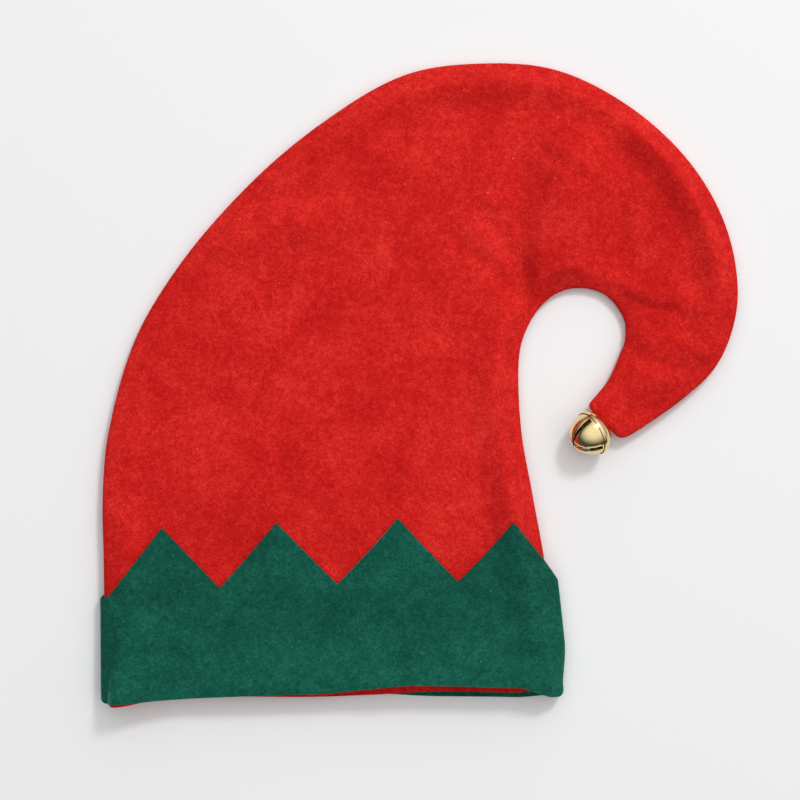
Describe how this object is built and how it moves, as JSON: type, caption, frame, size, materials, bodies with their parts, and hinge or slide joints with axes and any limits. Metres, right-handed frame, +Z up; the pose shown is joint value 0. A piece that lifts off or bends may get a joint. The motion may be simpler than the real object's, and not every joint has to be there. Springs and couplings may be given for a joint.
{
  "type": "elf hat",
  "caption": "Felt elf hat lying flat, with a curled tip that ends in a round bell and a zigzag band round the hem.",
  "frame": {"origin": "on the table under the middle of the bounding box", "axes": "+Z up out of the upper felt panel, -Y towards the open hem, +X towards the side with the curled tip and the bell"},
  "size_m": [0.402, 0.403, 0.0271],
  "materials": {
    "red_felt": "matt fuzzy felt",
    "green_felt": "matt fuzzy felt",
    "bell_brass": "polished",
    "pellet_steel": "dull"
  },
  "bodies": {
    "root": {"crown_upper_panel": "red_felt", "crown_lower_panel": "red_felt", "zigzag_band": "green_felt", "bell_cap": "bell_brass", "bell_petals": "bell_brass", "bell_loop": "bell_brass", "bell_pellet": "pellet_steel"}
  },
  "joints": []
}
